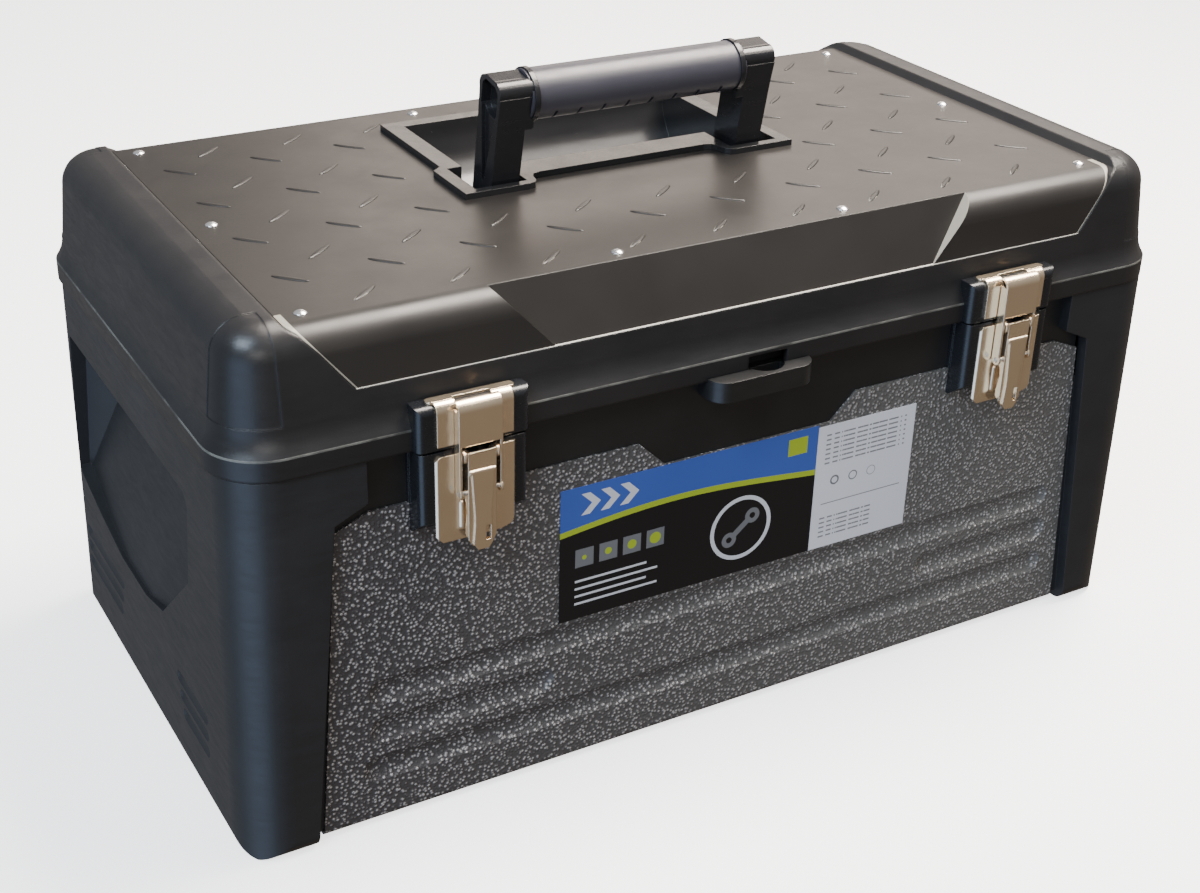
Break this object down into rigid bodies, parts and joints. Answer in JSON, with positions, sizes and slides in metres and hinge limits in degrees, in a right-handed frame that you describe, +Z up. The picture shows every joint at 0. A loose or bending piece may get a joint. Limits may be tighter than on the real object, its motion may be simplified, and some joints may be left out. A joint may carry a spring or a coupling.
{
  "type": "hard tool case",
  "caption": "Hard tool case: plastic ends and rims round a pressed steel shell, hinged lid with a ridged steel top, draw latches, fold-down handle and a lift-out tray.",
  "frame": {"origin": "middle of the base, on the floor under the closed case", "axes": "+X to the right along the length, +Y to the back with the hinges, +Z up"},
  "size_m": [0.5036, 0.29, 0.3049],
  "materials": {
    "black_plastic": "fine grained, slight sheen",
    "gloss_black": "smooth",
    "dark_steel": "pebbled coating",
    "tread_steel": "satin coating with raised ridges",
    "latch_plate": "bright nickel plate",
    "pin_steel": "plain steel",
    "grey_grip": "soft moulded grip",
    "tray_plastic": "moulded",
    "printed_label": "printed film",
    "white_label": "white film"
  },
  "bodies": {
    "case_body": {"end_cap_left": "black_plastic", "end_cap_right": "black_plastic", "steel_body": "dark_steel", "rim_frame": "black_plastic", "padlock_eye": "black_plastic", "latch_block_left": "black_plastic", "latch_block_right": "black_plastic", "latch_base_left": "latch_plate", "latch_base_right": "latch_plate", "hinge_pin_left": "pin_steel", "hinge_pin_right": "pin_steel", "front_label": "printed_label", "info_label": "white_label"},
    "lid": {"lid_frame": "black_plastic", "tread_panel": "tread_steel", "panel_rivets": "pin_steel", "handle_bezel": "gloss_black", "keeper_block_left": "black_plastic", "keeper_block_right": "black_plastic", "keeper_left": "latch_plate", "keeper_right": "latch_plate"},
    "handle": {"handle_leg_left": "gloss_black", "handle_leg_right": "gloss_black", "handle_grip": "grey_grip", "handle_pins": "pin_steel"},
    "latch_lever_left": {"lever_left": "latch_plate", "lever_pin_left": "pin_steel"},
    "latch_lever_right": {"lever_right": "latch_plate", "lever_pin_right": "pin_steel"},
    "latch_bail_left": {"bail_left": "latch_plate", "bail_pin_left": "pin_steel"},
    "latch_bail_right": {"bail_right": "latch_plate", "bail_pin_right": "pin_steel"},
    "tray": {"tote_tray": "tray_plastic"}
  },
  "joints": [
    {"name": "lid_hinge", "type": "hinge", "parent": "case_body", "child": "lid", "pos_m": [0, 0.1388, 0.192], "axis": [-1, 0, 0], "range_deg": [0, 105]},
    {"name": "handle_fold", "type": "hinge", "parent": "lid", "child": "handle", "pos_m": [0, -0.003, 0.239], "axis": [-1, 0, 0], "range_deg": [0, 102]},
    {"name": "lever_left_turn", "type": "hinge", "parent": "case_body", "child": "latch_lever_left", "pos_m": [-0.144, -0.1415, 0.188], "axis": [-1, 0, 0], "range_deg": [0, 150]},
    {"name": "lever_right_turn", "type": "hinge", "parent": "case_body", "child": "latch_lever_right", "pos_m": [0.144, -0.1415, 0.188], "axis": [-1, 0, 0], "range_deg": [0, 150]},
    {"name": "bail_left_turn", "type": "hinge", "parent": "latch_lever_left", "child": "latch_bail_left", "pos_m": [-0.144, -0.1415, 0.171], "axis": [-1, 0, 0], "range_deg": [-150, 0]},
    {"name": "bail_right_turn", "type": "hinge", "parent": "latch_lever_right", "child": "latch_bail_right", "pos_m": [0.144, -0.1415, 0.171], "axis": [-1, 0, 0], "range_deg": [-150, 0]},
    {"name": "tray_lift", "type": "slide", "parent": "case_body", "child": "tray", "axis": [0, 0, 1], "range_m": [0, 0.024]}
  ],
  "couplings": [
    {"joint": "bail_left_turn", "follows": "lever_left_turn", "ratio": -1},
    {"joint": "bail_right_turn", "follows": "lever_right_turn", "ratio": -1}
  ]
}
